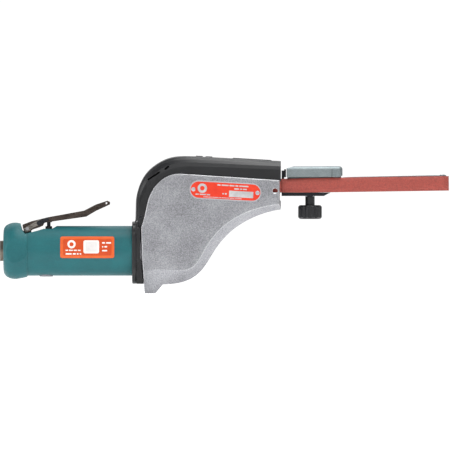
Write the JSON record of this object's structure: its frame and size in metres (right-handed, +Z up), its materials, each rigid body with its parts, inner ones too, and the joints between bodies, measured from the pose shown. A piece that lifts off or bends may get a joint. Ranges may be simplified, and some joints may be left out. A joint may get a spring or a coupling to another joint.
{
  "type": "handheld belt sander",
  "caption": "Air-driven belt sander with a round grip and throttle lever, a cast head under a swinging guard, and a narrow belt running out along a tracked arm.",
  "frame": {"origin": "centre of the air inlet mouth, at the rear face of the inlet fitting", "axes": "+X forward from the inlet towards the belt tip, +Z up on the throttle lever side, +Y to the left of someone holding the tool"},
  "size_m": [0.3931, 0.0525, 0.1201],
  "materials": {
    "teal_composite": "moulded glass-filled composite, fine grain",
    "black_composite": "moulded, satin",
    "cast_aluminium": "tumbled casting",
    "machined_aluminium": "turned",
    "steel": "ground",
    "lever_steel": "stamped, satin",
    "yoke_casting": "painted grey casting",
    "black_steel": "black oxide",
    "spring_steel": "drawn wire",
    "plate_red": "printed foil",
    "label_orange": "printed film",
    "rubber_black": "moulded",
    "belt_abrasive": "coated abrasive cloth",
    "felt": "pressed felt",
    "vane_composite": "laminate",
    "bronze": "turned bronze"
  },
  "bodies": {
    "tool_body": {"handle_grip": "teal_composite", "handle_label": "label_orange", "air_inlet_bushing": "steel", "inlet_screen": "steel", "exhaust_cover": "black_composite", "muffler_felt": "felt", "valve_bushing": "black_composite", "valve_spring": "spring_steel", "regulator_clip": "black_steel", "motor_rear_plate": "steel", "motor_rear_bearing": "steel", "motor_cylinder": "steel", "motor_front_plate": "steel", "motor_front_bearing": "steel", "collar": "black_composite", "rear_skirt": "black_composite", "head_housing": "cast_aluminium", "name_plate": "plate_red", "name_plate_rivets": "machined_aluminium", "idler_axle": "steel", "idler_spacer": "steel", "guard_hinge_pin": "steel", "guard_plunger": "steel", "bar_guide": "bronze", "abrasive_belt": "belt_abrasive", "tension_spring": "spring_steel"},
    "lever": {"throttle_lever": "lever_steel", "lever_pin": "steel", "lock_off_spring": "spring_steel"},
    "lock_off": {"lock_off_lever": "black_steel", "lock_off_tabs": "steel"},
    "valve": {"valve_stem": "steel"},
    "regulator": {"regulator_screw": "steel", "regulator_o_ring": "rubber_black"},
    "rotor": {"motor_rotor": "steel", "motor_vanes": "vane_composite", "drive_wheel_hub": "machined_aluminium", "drive_wheel_tyre": "rubber_black", "drive_wheel_screw": "black_steel"},
    "near_idler": {"idler_near": "machined_aluminium", "idler_near_bearing": "steel"},
    "far_idler": {"idler_far": "machined_aluminium", "idler_far_bearing": "steel"},
    "guard": {"belt_guard": "black_composite", "guard_grip_pad": "rubber_black"},
    "tension": {"tension_bar": "steel", "nose_bumper": "rubber_black", "tracking_spring": "spring_steel"},
    "knob": {"tracking_knob": "black_composite", "knob_clip": "spring_steel"},
    "yoke": {"tracking_yoke": "yoke_casting", "tracking_pivot_pin": "steel", "tracking_nut": "bronze", "contact_arm": "steel", "arm_clamp_screw": "black_steel", "platen_near": "steel", "platen_far": "steel", "contact_wheel_pin": "steel"},
    "tip_wheel": {"contact_wheel_hub": "machined_aluminium", "contact_wheel_tyre": "rubber_black"}
  },
  "joints": [
    {"name": "lever_hinge", "type": "hinge", "parent": "tool_body", "child": "lever", "pos_m": [0.0239, 0, 0.0193], "axis": [0, 1, 0], "range_deg": [0, 8], "stiffness_Nm_per_rad": 0.25, "springref_deg": -20.05},
    {"name": "lock_off_hinge", "type": "hinge", "parent": "lever", "child": "lock_off", "pos_m": [0.0345, 0, 0.0243], "axis": [0, -1, 0], "range_deg": [0, 66]},
    {"name": "valve_slide", "type": "slide", "parent": "tool_body", "child": "valve", "axis": [0, 0, -1], "range_m": [0, 0.003], "deforming": ["valve_spring"]},
    {"name": "regulator_turn", "type": "hinge", "parent": "tool_body", "child": "regulator", "pos_m": [0.0406, 0, -0.018], "axis": [0, 0, -1], "range_deg": [0, 270]},
    {"name": "rotor_spin", "type": "hinge", "parent": "tool_body", "child": "rotor", "pos_m": [0.1, 0, 0], "axis": [1, 0, 0], "continuous": true},
    {"name": "near_idler_spin", "type": "hinge", "parent": "tool_body", "child": "near_idler", "pos_m": [0.1481, -0.0141, 0.04149], "axis": [0, 1, 0], "continuous": true},
    {"name": "far_idler_spin", "type": "hinge", "parent": "tool_body", "child": "far_idler", "pos_m": [0.1481, 0.0141, 0.04149], "axis": [0, 1, 0], "continuous": true},
    {"name": "guard_hinge", "type": "hinge", "parent": "tool_body", "child": "guard", "pos_m": [0.1232, 0, 0.0295], "axis": [0, -1, 0], "range_deg": [0, 40]},
    {"name": "tension_slide", "type": "slide", "parent": "tool_body", "child": "tension", "axis": [-1, 0, 0], "range_m": [0, 0.008], "stiffness_N_per_m": 1200, "springref_m": -0.012, "deforming": ["tension_spring", "abrasive_belt"]},
    {"name": "knob_turn", "type": "hinge", "parent": "tension", "child": "knob", "pos_m": [0.2714, 0, 0.034], "axis": [0, 0, 1], "range_deg": [-205, 205]},
    {"name": "tracking_tilt", "type": "hinge", "parent": "tension", "child": "yoke", "pos_m": [0.2545, 0, 0.057], "axis": [0, 1, 0], "range_deg": [-1.6, 1.6], "deforming": ["tracking_spring", "abrasive_belt"]},
    {"name": "tip_wheel_spin", "type": "hinge", "parent": "yoke", "child": "tip_wheel", "pos_m": [0.3874, 0, 0.05901], "axis": [-0.0143, 0, 0.9999], "continuous": true}
  ],
  "couplings": [
    {"joint": "lock_off_hinge", "follows": "lever_hinge", "ratio": 8},
    {"joint": "valve_slide", "follows": "lever_hinge", "m_per_rad": 0.0196},
    {"joint": "near_idler_spin", "follows": "rotor_spin", "ratio": -1},
    {"joint": "far_idler_spin", "follows": "rotor_spin", "ratio": 1},
    {"joint": "tip_wheel_spin", "follows": "rotor_spin", "ratio": -2.7647},
    {"joint": "tracking_tilt", "follows": "knob_turn", "ratio": 0.007317}
  ]
}
